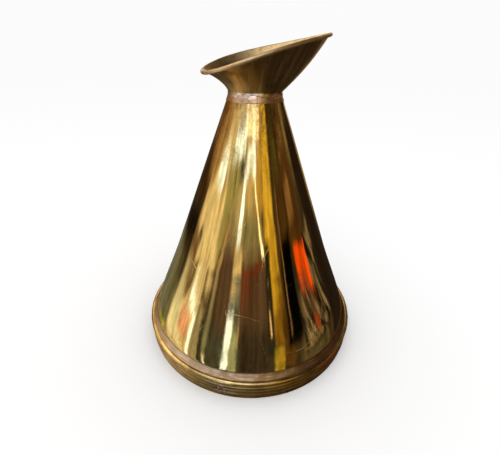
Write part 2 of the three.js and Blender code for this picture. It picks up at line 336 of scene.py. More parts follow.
def sheet(name, columns, rows, place):
    """A flat grid bent so that the point (across, up), each from 0 to 1, goes to its place in mm."""
    bpy.ops.object.select_all(action="DESELECT")
    bpy.ops.mesh.primitive_grid_add(x_subdivisions=columns, y_subdivisions=rows, size=1)
    piece = bpy.context.object
    piece.name = piece.data.name = name
    for vertex in piece.data.vertices:
        vertex.co = Vector(place(vertex.co.x + 0.5, vertex.co.y + 0.5)) * MM
    return piece


def thicken(piece, thickness, offset=-1.0, inner_slot=0):
    """Gives a sheet its thickness, on the side away from its face unless the offset says otherwise."""
    wall = piece.modifiers.new("wall", "SOLIDIFY")
    wall.thickness = thickness * MM
    wall.offset = offset
    wall.use_even_offset = True
    wall.material_offset = inner_slot
    bpy.context.view_layer.objects.active = piece
    bpy.ops.object.modifier_apply(modifier=wall.name)


def hoop_face(height):
    """The hoop's outer radius at a height."""
    for middle, half in RIDGES:
        lean = (height - middle) / half
        if abs(lean) < 1:
            return HOOP_RADIUS + RIDGE_RISE * (0.5 + 0.5 * cos(lean * pi))
    return HOOP_RADIUS


def smear(across, up):
    """The filler's face: ragged at the sides, lumpy, and thin at its edges."""
    height = JOINT_FOOT + (JOINT_TOP - JOINT_FOOT) * up
    ragged = noise.noise((up * 3.5, 2.0, 0.0)) * 2.4
    side = (across - 0.5) * (JOINT_WIDTH * (0.75 + 0.5 * up) + ragged)
    edge = min(1.0, 5 * across, 5 * (1 - across), 7 * up, 7 * (1 - up))
    lumps = 0.32 + 0.35 * noise.noise((across * 4, up * 5, 1.3))
    radius = hoop_face(height) - 0.25 + edge * (0.3 + lumps)
    azimuth = JOINT_AZIMUTH + side / HOOP_RADIUS
    return radius * cos(azimuth), radius * sin(azimuth), height


hoop_joint = sheet("hoop_joint", 40, 60, smear)
thicken(hoop_joint, 0.5)
smooth(hoop_joint)

filler = Finish("filler")
run = filler.cloud(filler.place, 260, detail=7, rough=0.62)
fleck = filler.cloud(filler.place, 1500, detail=3)
copper = filler.mix(filler.step(run, 0.38, 0.62), (0.5, 0.34, 0.24), (0.24, 0.155, 0.1))
soot = filler.step(run + (fleck - 0.5) * 0.3, 0.62, 0.72)
filler.set(
    Base_Color=filler.mix(soot, copper, (0.06, 0.045, 0.04)),
    Roughness=0.34 + run * 0.25,
    Metallic=0.95 - soot * 0.4,
)
filler.relief(run + fleck * 0.3, 0.35, 0.8)
hoop_joint.data.materials.append(filler.material)
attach(hoop_joint, "root")
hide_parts("foot_hoop_joint_braze")


# ---- Foot wire ------------------------------------------------------------------------------------
# Hard drawn brass wire inside the hoop's curl. Only its underside could ever be seen.

wire_brass = Finish("wire_brass")
drawn = wire_brass.cloud(wire_brass.around(3, 4000), 1, detail=3)
wire_brass.set(
    Base_Color=wire_brass.mix(drawn, (0.5, 0.36, 0.16), (0.3, 0.2, 0.09)),
    Roughness=0.35 + drawn * 0.2,
)
wire_brass.relief(drawn, 0.03, 0.6)
foot_wire = turned("foot_wire", arc(HOOP_ROLL, 1.25, 0, 345, 23))
smooth(foot_wire)
foot_wire.data.materials.append(wire_brass.material)
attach(foot_wire, "root")
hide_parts("foot_bead_wire")


# ---- Body cone ------------------------------------------------------------------------------------
# Sheet brass rolled into a cone, brazed along one side, planished and polished to a mirror. Years of
# handling have left it with hairlines, a few pits, and a haze near the neck and the foot.

BODY_TOP = 276.7
BODY_FOOT = 9.9
NECK_RADIUS = 24.9
BODY_SLOPE = (HOOP_INSIDE - 0.3 - NECK_RADIUS) / (BODY_TOP - BODY_FOOT)
BODY_SHEET = 0.8 * hypot(1, BODY_SLOPE)
SWELL, SWELL_TOP, SWELL_START = 2.8, 118, 0.6  # most, where it ends, and how steeply it starts


def swell_shape(share):
    return share**SWELL_START * (1 - share) ** 2


def cone_radius(height):
    """The cone's outer radius. Above the curl its side swells a little past straight."""
    share = (height - HOOP_ROLL[1]) / (SWELL_TOP - HOOP_ROLL[1])
    peak = swell_shape(SWELL_START / (SWELL_START + 2))
    swell = SWELL * swell_shape(share) / peak if 0 < share < 1 else 0
    return NECK_RADIUS + (BODY_TOP - height) * BODY_SLOPE + swell


def body_side(steps, inset):
    """One face of the cone, from the foot to the neck."""
    heights = [BODY_FOOT + (BODY_TOP - BODY_FOOT) * i / steps for i in range(steps + 1)]
    return [(cone_radius(height) - inset, height) for height in heights]


body = turned("body", body_side(70, BODY_SHEET) + body_side(120, 0)[::-1], steps=288)
uneven(body, 0.13, 34)
smooth(body)

mirror_brass = Finish("mirror_brass")
haze = mirror_brass.cloud(mirror_brass.place, 26, detail=6, rough=0.6)
bloom = mirror_brass.cloud(mirror_brass.around(9, 7), 1.3, detail=5)
speck = mirror_brass.cloud(mirror_brass.place, 420, detail=4, rough=0.65)
near_neck = mirror_brass.step(mirror_brass.z, 0.185, 0.265)
near_foot = mirror_brass.step(mirror_brass.z, 0.115, 0.03)
handled = near_neck * 0.8 + near_foot * 0.45
dull = mirror_brass.step(haze + (speck - 0.5) * 0.5, 0.46, 0.74) * (0.2 + handled)
pitted = mirror_brass.pits(95, 0.10, 0.055)
pinholes = mirror_brass.pits(240, 0.05, 0.08)
scratched = mirror_brass.hairlines(mirror_brass.place, 7, 0.022, 3.1)
crossed = mirror_brass.hairlines(mirror_brass.around(0.5, 2.6), 2.1, 0.02, 8.4)
yellow = mirror_brass.mix(mirror_brass.step(bloom, 0.35, 0.7), (0.90, 0.70, 0.30), (0.82, 0.6, 0.235))
patchy = mirror_brass.cloud(mirror_brass.around(5.5, 62), 1, detail=5, rough=0.68)
browned = mirror_brass.step(patchy + (speck - 0.5) * 0.3, 0.42, 0.7) * (near_neck * 0.8 + 0.06)
aged = mirror_brass.mix(dull * 0.4, yellow, (0.62, 0.47, 0.23))
aged = mirror_brass.mix(browned, aged, (0.34, 0.22, 0.085))
holes = mirror_brass.node("Math", {0: pitted, 1: pinholes * 0.7}, operation="MAXIMUM")
marks = mirror_brass.node("Math", {0: scratched, 1: crossed}, operation="MAXIMUM")
# One long curved scratch low on the cone. Along part of its arc it is painted paler, as a painted glint.
GOUGE_AZIMUTH, GOUGE_HEIGHT, GOUGE_RADIUS = radians(-90), 0.097, 0.052
BODY_RADIUS_THERE = 0.105
along = (mirror_brass.azimuth - GOUGE_AZIMUTH) * BODY_RADIUS_THERE
above = mirror_brass.z - GOUGE_HEIGHT
from_middle = (along * along + above * above) ** 0.5
gouge_glint = mirror_brass.step(abs(from_middle - GOUGE_RADIUS), 0.0007, 0.0002)
gouge_glint = gouge_glint * mirror_brass.step(above, -0.014, -0.022) * mirror_brass.step(along, -0.004, 0.004)
worn = mirror_brass.mix(holes, aged, (0.10, 0.06, 0.03))
mirror_brass.set(
    Base_Color=mirror_brass.mix(gouge_glint, worn, (1.0, 0.86, 0.5)),
    Roughness=0.05 + dull * 0.15 + marks * 0.22 + holes * 0.4 + browned * 0.12 + gouge_glint * 0.5,
)
mirror_brass.relief(haze * 0.25 + speck * (0.02 + dull * 0.06) - marks * 0.03 - holes * 0.35, 0.3, 0.6)
body.data.materials.append(mirror_brass.material)
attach(body, "root")
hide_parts("body_cone")


# ---- Body seam ------------------------------------------------------------------------------------
# The line of filler down the far side of the cone, filed nearly flush and polished with the sheet.

SEAM_AZIMUTH = radians(90)
SEAM_FOOT, SEAM_TOP = BODY_FOOT + 17, BODY_TOP - 8


def seam_strip(across, up):
    """The strip's crown, which wanders and swells a little as it climbs."""
    height = SEAM_FOOT + (SEAM_TOP - SEAM_FOOT) * up
    wander = 0.35 * noise.noise((up * 18, 0.0, 4.0))
    width = 1.5 + 0.5 * noise.noise((up * 30, 7.0, 0.0))
    side = (across - 0.5) * width + wander
    crown = 0.14 * (1 - (2 * across - 1) ** 2) - 0.02
    radius = cone_radius(height) + crown
    azimuth = SEAM_AZIMUTH + side / radius
    return radius * cos(azimuth), radius * sin(azimuth), height


body_seam = sheet("body_seam", 8, 240, seam_strip)
thicken(body_seam, 0.3)
smooth(body_seam)
flush_filler = Finish("flush_filler")
mottle = flush_filler.cloud(flush_filler.place, 300, detail=5)
flush_filler.set(
    Base_Color=flush_filler.mix(mottle, (0.72, 0.47, 0.3), (0.5, 0.33, 0.19)),
    Roughness=0.12 + mottle * 0.25,
)
flush_filler.relief(mottle, 0.1, 0.6)
body_seam.data.materials.append(flush_filler.material)
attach(body_seam, "root")
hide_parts("body_seam_braze")


# ---- Foot fillet ----------------------------------------------------------------------------------
# The ring of filler that slopes from the cone to the hoop's curl. It was wiped while hot and never
# polished, so it is matt, pinkish and streaked. One side has a painted highlight, the other painted shade.

FILLET_TOP = HOOP_ROLL[1] + 8.1


def fillet_outline():
    """Down the slope from the cone to the curl, round under the curl, and back up along the cone."""
    beside = 0.3 * hypot(1, BODY_SLOPE)
    against_curl = arc(HOOP_ROLL, HOOP_ROLL_RADIUS + 0.12, 112, 222, 12)
    top = (cone_radius(FILLET_TOP) + 0.05, FILLET_TOP)
    low = (cone_radius(HOOP_ROLL[1] - 2.3) + beside, HOOP_ROLL[1] - 2.3)
    slope = []
    for i in range(13):
        share = i / 13
        radius = top[0] + (against_curl[0][0] - top[0]) * share
        height = top[1] + (against_curl[0][1] - top[1]) * share - 0.45 * sin(pi * share)
        slope.append((radius, height))
    return slope + against_curl + [low]


foot_fillet = turned("foot_fillet", fillet_outline())
uneven(foot_fillet, 0.34, 5)
smooth(foot_fillet, 50)

wiped = Finish("wiped_filler")
long_streak = wiped.cloud(wiped.around(5, 700), 1.1, detail=6, rough=0.6)
blotch = wiped.cloud(wiped.place, 75, detail=5)
sand = wiped.cloud(wiped.place, 1300, detail=4, rough=0.7)
cone_line = wiped.step(wiped.z, 0.0288, 0.0299)
pink = wiped.mix(wiped.step(long_streak, 0.36, 0.64), (0.82, 0.64, 0.45), (0.46, 0.31, 0.19))
heat_tint_and_painted_light = wiped.mix(wiped.step(blotch, 0.44, 0.62), pink, (0.46, 0.29, 0.15))
# Painted light: the filler is painted paler towards the lit side as a painted highlight, and darker towards
# the other side as painted shade.
LIT_SIDE, SHADED_SIDE = radians(-169), radians(-40)
toward_lit = (wiped.x * cos(LIT_SIDE) + wiped.y * sin(LIT_SIDE)) / wiped.radius
toward_shaded = (wiped.x * cos(SHADED_SIDE) + wiped.y * sin(SHADED_SIDE)) / wiped.radius
heat_tint_and_painted_light = wiped.mix(wiped.step(toward_lit, 0.55, 1.0) * 0.35, heat_tint_and_painted_light, (0.95, 0.82, 0.62))
heat_tint_and_painted_light = wiped.mix(wiped.step(toward_shaded, 0.3, 0.95) * 0.75, heat_tint_and_painted_light, (0.2, 0.13, 0.07))
grime = wiped.step(long_streak + (sand - 0.5) * 0.5, 0.6, 0.74) * 0.5 + cone_line * 0.7
wiped.set(
    Base_Color=wiped.mix(grime, heat_tint_and_painted_light, (0.085, 0.055, 0.04)),
    Roughness=0.42 + long_streak * 0.2 - blotch * 0.08,
)
wiped.relief(long_streak * 0.7 + sand * 0.35 + blotch * 0.5, 0.3, 0.7)
foot_fillet.data.materials.append(wiped.material)
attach(foot_fillet, "root")
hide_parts("foot_braze_fillet")


# ---- Bottom plate ---------------------------------------------------------------------------------
# A dished disc inside the foot, with its edge turned down against the cone. The metal is as it came
# from the rolls, marked by the tool that dished it, and stained by heat round the edge.

PLATE_TOP = 15.3
PLATE_EDGE = cone_radius(PLATE_TOP) - BODY_SHEET - 0.3


def plate_outline():
    """Out along the top of the dish, down the flange, and back along the underside."""
    bend = (PLATE_EDGE - 2, PLATE_TOP - 2)
    shares = [i / 16 for i in range(16)]
    top = [(bend[0] * s, PLATE_TOP + 1.5 * (1 - s * s)) for s in shares]
    flange = arc(bend, 2, 90, 0, 8) + [(PLATE_EDGE, 6.2), (PLATE_EDGE - 0.5, 6), (PLATE_EDGE - 1, 6.2)]
    return top + flange + arc(bend, 1, 0, 90, 6) + [(r, z - 1) for r, z in reversed(top)]


bottom_plate = turned("bottom_plate", plate_outline())
uneven(bottom_plate, 0.35, 40)
smooth(bottom_plate)
rolled_brass = Finish("rolled_brass")
rings = rolled_brass.cloud(rolled_brass.vector(rolled_brass.radius * 900, 0.0, 0.0), 1, detail=2)
patches = rolled_brass.cloud(rolled_brass.place, 28, detail=6)
burnt = rolled_brass.step(rolled_brass.radius + (patches - 0.5) * 0.03, 0.1, 0.124)
as_rolled = rolled_brass.mix(rolled_brass.step(patches, 0.35, 0.7), (0.5, 0.37, 0.17), (0.33, 0.23, 0.11))
rolled_brass.set(
    Base_Color=rolled_brass.mix(burnt, as_rolled, (0.2, 0.125, 0.075)),
    Roughness=0.34 + patches * 0.22 + rings * 0.08,
)
rolled_brass.relief(rings * 0.5 + patches, 0.15, 0.5)
bottom_plate.data.materials.append(rolled_brass.material)
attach(bottom_plate, "root")
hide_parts("base_plate")


# ---- Bottom fillet --------------------------------------------------------------------------------
# Filler run into the corner under the cone's edge, between the plate's flange and the hoop.

FILLET_HIGH = BODY_FOOT - 0.3
bottom_fillet = turned(
    "bottom_fillet",
    divided((PLATE_EDGE + 0.25, FILLET_HIGH), (HOOP_INSIDE - 0.1, FILLET_HIGH), 4)
    + [(HOOP_INSIDE - 0.1, FILLET_HIGH), (HOOP_INSIDE - 0.1, FILLET_HIGH - 3.2)]
    + arc((122.6, FILLET_HIGH - 4.2), 2, 45, 135, 6)
    + [(PLATE_EDGE + 0.25, FILLET_HIGH - 2.6)],
)
uneven(bottom_fillet, 0.4, 6)
smooth(bottom_fillet, 50)
bottom_fillet.data.materials.append(filler.material)
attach(bottom_fillet, "root")
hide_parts("base_plate_braze")


# ---- Mouth ----------------------------------------------------------------------------------------
# A funnel cut on a slant, so that it is low at the back and reaches forward to a pouring tip. Its
# spigot sits in the neck, and its edge is rolled outwards over a wire. It is brown with old tarnish,
# and the roll is rubbed paler.

MOUTH_SHEET = 0.7
THROAT_HEIGHT = BODY_TOP + 1.6
THROAT_RADIUS = NECK_RADIUS + 1.15
SPIGOT_RADIUS = NECK_RADIUS - BODY_SHEET - 0.3
SPIGOT_FOOT = BODY_TOP - 8
BACK_REACH, TIP_REACH, HALF_WIDTH = 48, 72.6, 46.5
BACK_HEIGHT, TIP_HEIGHT = BODY_TOP + 13.3, BODY_TOP + 49.3
ROLL_HOLLOW = 0.9
ROLL_TURN = radians(290)
SPIGOT_END, WALL_END = 0.2, 0.72  # shares of the sheet, from the spigot's foot to the end of the roll
SEAM_GAP, ROLL_GAPE = 0.011, 0.03  # half the open joint in the wall, and how much more at the roll's end


def rim_point(t):
    """The edge of the wall, with t = 0 at the pouring tip."""
    c = cos(t)
    x = (TIP_REACH - BACK_REACH) / 2 + (TIP_REACH + BACK_REACH) / 2 * c
    y = HALF_WIDTH * sin(t) * (1 - 0.32 * c)
    level = (BACK_HEIGHT + TIP_HEIGHT) / 2 + (TIP_HEIGHT - BACK_HEIGHT) / 2 * c
    sides = (5 - 3.2 * c) * (1 - c * c)
    lip = 3.6 * ((1 - c) / 2) ** 4
    return Vector((x, y, level + sides + lip - 1.4 * sin(t)))


def wall_point(t, s):
    """The outside of the wall, from the throat at s = 0 to the edge at s = 1."""
    start = Vector((THROAT_RADIUS * cos(t), THROAT_RADIUS * sin(t), THROAT_HEIGHT))
    point = start.lerp(rim_point(t), s)
    swell = 1 + 3.8 * cos(t) * 4 * s * (1 - s) / hypot(point.x, point.y)
    return Vector((point.x * swell, point.y * swell, point.z))


def roll_frame(t):
    """The centre of the rolled edge, and the directions up the wall and out of it."""
    up = (wall_point(t, 1.001) - wall_point(t, 0.999)).normalized()
    along = (wall_point(t + 0.001, 1) - wall_point(t - 0.001, 1)).normalized()
    out = along.cross(up).normalized()
    return wall_point(t, 1) + out * ROLL_HOLLOW, up, out


def roll_point(t, radius, turn):
    centre, up, out = roll_frame(t)
    return centre - out * radius * cos(turn) + up * radius * sin(turn)


def mouth_place(across, up):
    """Spigot for the first part of the way up, then the wall, then the roll."""
    t = pi + SEAM_GAP + across * (tau - 2 * SEAM_GAP)
    if up < SPIGOT_END:
        lift = up / SPIGOT_END
        ease = lift * lift * (3 - 2 * lift)
        height = SPIGOT_FOOT + (THROAT_HEIGHT - SPIGOT_FOOT) * lift
        radius = SPIGOT_RADIUS + (THROAT_RADIUS - SPIGOT_RADIUS) * ease**6
        return radius * cos(t), radius * sin(t), height
    if up < WALL_END:
        return wall_point(t, (up - SPIGOT_END) / (WALL_END - SPIGOT_END))
    rolled = (up - WALL_END) / (1 - WALL_END)
    gap = SEAM_GAP + ROLL_GAPE * rolled**2
    return roll_point(pi + gap + across * (tau - 2 * gap), ROLL_HOLLOW, ROLL_TURN * rolled)


MOUTH_COLUMNS, MOUTH_ROWS = 300, 75
mouth = sheet("mouth", MOUTH_COLUMNS, MOUTH_ROWS, mouth_place)
on_roll = mouth.data.attributes.new("on_roll", "FLOAT", "POINT")
for index in range(len(mouth.data.vertices)):
    on_roll.data[index].value = index // (MOUTH_COLUMNS + 1) / MOUTH_ROWS > WALL_END

stained_brass = Finish("stained_brass")
drip = stained_brass.cloud(stained_brass.around(4, 12), 1.6, detail=6, rough=0.6)
cloudy = stained_brass.cloud(stained_brass.place, 45, detail=6, rough=0.6)
fine = stained_brass.cloud(stained_brass.place, 800, detail=4)
brown = stained_brass.mix(stained_brass.step(drip, 0.38, 0.6), (0.98, 0.77, 0.42), (0.6, 0.41, 0.2))
deep = stained_brass.mix(stained_brass.step(cloudy, 0.5, 0.72), brown, (0.38, 0.24, 0.12))
stained_brass.set(
    Base_Color=deep,
    Roughness=0.24 + cloudy * 0.2 + (fine - 0.5) * 0.12,
)
stained_brass.relief(cloudy * 0.7 + fine * 0.2 + drip * 0.6, 0.22, 0.6)

lining_brass = Finish("lining_brass")
wash = lining_brass.cloud(lining_brass.place, 38, detail=7, rough=0.62)
spot = lining_brass.cloud(lining_brass.place, 190, detail=5, rough=0.6)
dust = lining_brass.cloud(lining_brass.place, 1100, detail=3)
golden = lining_brass.mix(lining_brass.step(wash, 0.38, 0.62), (0.98, 0.78, 0.42), (0.76, 0.54, 0.26))
# Painted shade: the lining is painted darker towards the low back of the funnel.
low_back = lining_brass.step(lining_brass.x, -0.006, -0.044)
shaded_at_back = lining_brass.mix(low_back * 0.6, golden, (0.5, 0.32, 0.17))
spotted = lining_brass.mix(lining_brass.step(spot, 0.52, 0.68) * 0.7, shaded_at_back, (0.38, 0.26, 0.14))
roll = lining_brass.node("Attribute", {}, output=2, attribute_name="on_roll")
rubbed_roll = lining_brass.mix(lining_brass.step(wash, 0.4, 0.64), (0.97, 0.8, 0.56), (0.78, 0.58, 0.36))
lining_brass.set(
    Base_Color=lining_brass.mix(roll, spotted, rubbed_roll),
    Roughness=0.27 + wash * 0.16 + (dust - 0.5) * 0.1 + roll * 0.14,
)
lining_brass.relief(wash * 0.6 + spot * 0.35 + dust * 0.15, 0.22, 0.6)

mouth.data.materials.append(stained_brass.material)
mouth.data.materials.append(lining_brass.material)
thicken(mouth, MOUTH_SHEET, inner_slot=1)
uneven(mouth, 0.22, 16)
smooth(mouth)
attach(mouth, "root")
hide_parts("mouth_funnel")


# ---- Mouth seam -----------------------------------------------------------------------------------
# Filler in the joint at the back of the funnel. The roll above it was left open, and gapes a little.


def mouth_seam_place(across, up):
    """Up the spigot, and then up the wall nearly to the roll."""
    side = (across - 0.5) * (1.3 + 0.4 * noise.noise((up * 9, 1.0, 5.0))) / 30
    if up < 0.25:
        radius = SPIGOT_RADIUS - 0.12
        t, height = pi + side, SPIGOT_FOOT + 0.3 + (THROAT_HEIGHT - SPIGOT_FOOT - 1.6) * up / 0.25
        return radius * cos(t), radius * sin(t), height
    crown = 0.16 * (1 - (2 * across - 1) ** 2)
    point = wall_point(pi + side, (up - 0.25) / 0.75 * 0.93)
    return point + Vector((-0.5, 0, -0.85)) * crown


mouth_seam = sheet("mouth_seam", 8, 80, mouth_seam_place)
thicken(mouth_seam, 0.85)
smooth(mouth_seam)
mouth_seam.data.materials.append(flush_filler.material)
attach(mouth_seam, "root")
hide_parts("mouth_seam_braze")


# ---- Rim wire -------------------------------------------------------------------------------------
# The wire inside the rolled edge. It shows in the gape at the back.


RIM_WIRE_RADIUS = 0.7


def wire_place(across, up):
    return roll_point(across * tau, RIM_WIRE_RADIUS, -up * tau)


def join_ends():
    """Merges the edges of a sheet that was bent into a closed ring, and turns its faces outwards."""
    bpy.ops.object.mode_set(mode="EDIT")
    bpy.ops.mesh.select_all(action="SELECT")
    bpy.ops.mesh.remove_doubles(threshold=0.01 * MM)
    bpy.ops.mesh.normals_make_consistent(inside=False)
    bpy.ops.object.mode_set(mode="OBJECT")


rim_wire = sheet("rim_wire", 240, 16, wire_place)
join_ends()
smooth(rim_wire, 60)
rim_wire.data.materials.append(wire_brass.material)
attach(rim_wire, "root")
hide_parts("rim_wire")


# ---- Neck strap -----------------------------------------------------------------------------------
# A narrow strap wound once round the top of the cone and lapped over itself, to hold the joint while
# it was brazed. The heat turned it a coppery brown, and it was never polished.

STRAP_TOP = BODY_TOP - 0.3
STRAP_HEIGHT = 6.6
STRAP_SHEET = 0.36
LAP_AZIMUTH = 251  # degrees, where its outer end lies
WOUND, LAP_START, LAP_RISE = 370, 340, 20  # degrees: in all, where it starts to climb, and over how many


def strap_place(across, up):
    """The strap's face. Near its outer end it climbs by its own thickness, over its inner end."""
    turn = WOUND * across
    azimuth = radians(LAP_AZIMUTH - WOUND + turn)
    lean = min(1, max(0, (turn - LAP_START) / LAP_RISE))
    climb = STRAP_SHEET * lean * lean * (3 - 2 * lean)
    ragged = 0.28 * noise.noise((azimuth * 3, 0.0, 9.0)) + 0.16 * noise.noise((azimuth * 11, 0.0, 3.0))
    height = STRAP_TOP - STRAP_HEIGHT * (1 - up) - ragged * (1 - up)
    radius = cone_radius(height) + 0.06 + STRAP_SHEET + climb
    return radius * cos(azimuth), radius * sin(azimuth), height


neck_strap = sheet("neck_strap", 320, 14, strap_place)
thicken(neck_strap, STRAP_SHEET)
uneven(neck_strap, 0.12, 7)
edges = neck_strap.modifiers.new("edges", "BEVEL")
edges.width = 0.12 * MM
edges.segments = 2
edges.limit_method = "ANGLE"
bpy.ops.object.modifier_apply(modifier=edges.name)
smooth(neck_strap, 50)

heated_brass = Finish("heated_brass")
flow = heated_brass.cloud(heated_brass.around(3, 220), 2.2, detail=6)
crust = heated_brass.cloud(heated_brass.place, 700, detail=5, rough=0.65)
coppery = heated_brass.mix(heated_brass.step(flow, 0.36, 0.66), (0.92, 0.66, 0.46), (0.62, 0.38, 0.22))
flooded = heated_brass.step(heated_brass.z + (flow - 0.5) * 0.012, 0.2730, 0.2752)
heated_brass.set(
    Base_Color=heated_brass.mix(flooded, coppery, (0.96, 0.8, 0.68)),
    Roughness=0.4 + (crust - 0.5) * 0.3 - flooded * 0.12,
)
heated_brass.relief(crust * 0.5 + flow, 0.2, 0.7)
neck_strap.data.materials.append(heated_brass.material)
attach(neck_strap, "root")
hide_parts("neck_strap")


# ---- Neck bead ------------------------------------------------------------------------------------
# The bead of filler on top of the strap, under the funnel. It ran thick in some places and thin in
# others, and it stayed the brightest and pinkest metal on the jug.


def bead_place(across, up):
    """Round the bead's section. It is thick here and thin there, and runs down over the strap."""
    azimuth = across * tau
    around = Vector((cos(azimuth), sin(azimuth), 0))
    thick = 0.85 + 0.35 * noise.noise(around * 2.3) + 0.25 * noise.noise(around * 9)
    run = max(0, 0.9 + 1.5 * noise.noise(around * 1.7 + Vector((3, 1, 2))) + 0.8 * noise.noise(around * 8))
    turn = -up * tau
    height = BODY_TOP + 0.6 - run + (thick * 0.8 + run) * sin(turn)
    radius = NECK_RADIUS + 0.5 + thick * 0.62 * cos(turn) + max(0, BODY_TOP - height) * BODY_SLOPE
    return around * radius + Vector((0, 0, height))


neck_bead = sheet("neck_bead", 300, 18, bead_place)
join_ends()
uneven(neck_bead, 0.18, 3)
smooth(neck_bead, 60)

bright_filler = Finish("bright_filler")
bubble = bright_filler.cloud(bright_filler.place, 420, detail=5, rough=0.6)
patch = bright_filler.cloud(bright_filler.around(2, 60), 1.7, detail=4)
rosy = bright_filler.mix(bright_filler.step(patch, 0.42, 0.64), (0.98, 0.84, 0.7), (0.66, 0.42, 0.28))
bright_filler.set(
    Base_Color=bright_filler.mix(bright_filler.step(bubble, 0.62, 0.74), rosy, (0.5, 0.32, 0.2)),
    Roughness=0.26 + bubble * 0.2,
)
bright_filler.relief(bubble, 0.3, 0.8)
neck_bead.data.materials.append(bright_filler.material)
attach(neck_bead, "root")
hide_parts("neck_braze_bead")


# ---- Studio ---------------------------------------------------------------------------------------
# A pale floor under an even white sky. Polished metal shows nothing but what stands round it, so the
# sky also holds soft boxes, coloured cards and dark flags, which only reflections see.

FLOOR_SIZE = 80
WHITE_SKY, FLOOR_LIFT = 0.97, 0.05  # brightness of the white, and how much more of it the floor gets

bpy.ops.object.select_all(action="DESELECT")
bpy.ops.mesh.primitive_plane_add(size=FLOOR_SIZE)
floor = bpy.context.object
floor.name = "floor"
floor.visible_glossy = False
paper = bpy.data.materials.new("paper")
paper.use_nodes = True
paper_shader = paper.node_tree.nodes["Principled BSDF"]
paper_shader.inputs["Base Color"].default_value = (0.95, 0.95, 0.95, 1)
paper_shader.inputs["Roughness"].default_value = 1
paper_shader.inputs["Specular IOR Level"].default_value = 0
floor.data.materials.append(paper)

world = bpy.data.worlds.new("studio")
world.use_nodes = True
world.cycles.sampling_method = "NONE"  # else the floor would be lit by the coloured cards too
bpy.context.scene.world = world
world.node_tree.nodes.clear()
sky = Nodes(world.node_tree)
CAMERA_SIDE = radians(24)
DEGREE = 180 / pi
toward = sky.node("TexCoord", {}, output=0)
toward = sky.node("VectorRotate", {"Vector": toward, "Angle": CAMERA_SIDE}, rotation_type="Z_AXIS")
east, north, high = sky.parts(toward)
side = sky.node("Math", {0: east, 1: 0 - north}, operation="ARCTAN2") * DEGREE
height = sky.node("Math", {0: high}, operation="ARCSINE") * DEGREE
side = side + (sky.cloud(toward, 6, detail=4) - 0.5) * 5
height = height + (sky.cloud(toward, 9, detail=4) - 0.5) * 5


def card(behind, colour, at, size, lean=0.0, tilt=0.0, soft=2.0, cover=1.0):
    """Hangs a soft-edged card in the sky, in degrees: across from the camera's side, and up.

    A lean moves it sideways as it rises, a tilt raises its right-hand end, and a cover below 1 thins it.
    """
    across = abs(side - at[0] - (height - at[1]) * lean)
    upward = abs(height - at[1] - (side - at[0]) * tilt)
    inside = sky.step(across, size[0] + soft, size[0] - soft) * cover
    return sky.mix(inside * sky.step(upward, size[1] + soft, size[1] - soft), behind, colour)


CREAM, WHITE = (0.92, 0.8, 0.6), (1.35, 1.6, 2.15)
room = sky.mix(sky.step(height, 36, 46), (0.10, 0.075, 0.05), (0.17, 0.14, 0.11))
room = card(room, (0.03, 0.023, 0.016), (95, 55), (50, 22), soft=8)
room = card(room, (0.95, 0.9, 0.8), (-50, 62), (36, 13), soft=7)
room = card(room, (2.6, 2.1, 1.5), (-104, 45), (30, 9), soft=4)
room = card(room, (0.50, 0.38, 0.22), (-65, -60), (62, 28), soft=9)
room = card(room, (0.06, 0.045, 0.03), (80, -60), (60, 28), soft=9)
# Far left: brown, with dark flags and an olive floor.
room = card(room, (0.23, 0.14, 0.07), (-128, 13), (32, 15), soft=5)
room = card(room, (0.09, 0.055, 0.03), (-130, -4), (30, 5), tilt=0.25, soft=3)
room = card(room, (0.03, 0.024, 0.018), (-125, -12), (24, 3), tilt=0.3, soft=2.5)
room = card(room, (0.25, 0.25, 0.18), (-128, -27), (26, 9), tilt=0.12, soft=3)
room = card(room, (0.5, 0.55, 0.12), (-116, -31), (9, 2), tilt=0.15, soft=1.5)
# Left: a cream wall with windows.
room = card(room, CREAM, (-77, -1), (27, 32), soft=3.5)
room = card(room, (0.5, 0.33, 0.18), (-100, 15), (13, 11), lean=0.8, soft=6)
room = card(room, (0.66, 0.5, 0.34), (-74, 27), (26, 4), tilt=0.15, soft=3)
room = card(room, (0.95, 0.93, 0.8), (-90, -18), (13, 7), soft=3)
room = card(room, (0.30, 0.2, 0.13), (-97, -7), (9, 3.5), soft=2.5)
room = card(room, (0.10, 0.11, 0.12), (-90, -3), (3, 1.2), soft=1.5)
room = card(room, (0.2, 0.15, 0.08), (-86, -8.5), (4, 1), tilt=0.3, soft=1)
room = card(room, WHITE, (-74, 14), (9, 3.8), lean=1.0, soft=2.8)
room = card(room, (0.6, 0.48, 0.32), (-62, 14), (4, 3), soft=3)
room = card(room, (1.0, 0.6, 0.5), (-78, -14), (7.5, 3.6), soft=2)
room = card(room, WHITE, (-73, -7.6), (6, 1.2), soft=1.2)
room = card(room, WHITE, (-66, -17), (2.2, 10), lean=0.15, soft=1.2)
room = card(room, (0.42, 0.38, 0.3), (-59.5, -17), (4.3, 12), lean=0.1, soft=1.4)
room = card(room, (0.44, 0.41, 0.22), (-43, 13), (13, 12), soft=3)
room = card(room, (0.95, 0.88, 0.8), (-40, 33), (27, 4), tilt=0.1, soft=3)
room = card(room, WHITE, (-37, 25.5), (17, 2.6), tilt=0.16, soft=2.4)
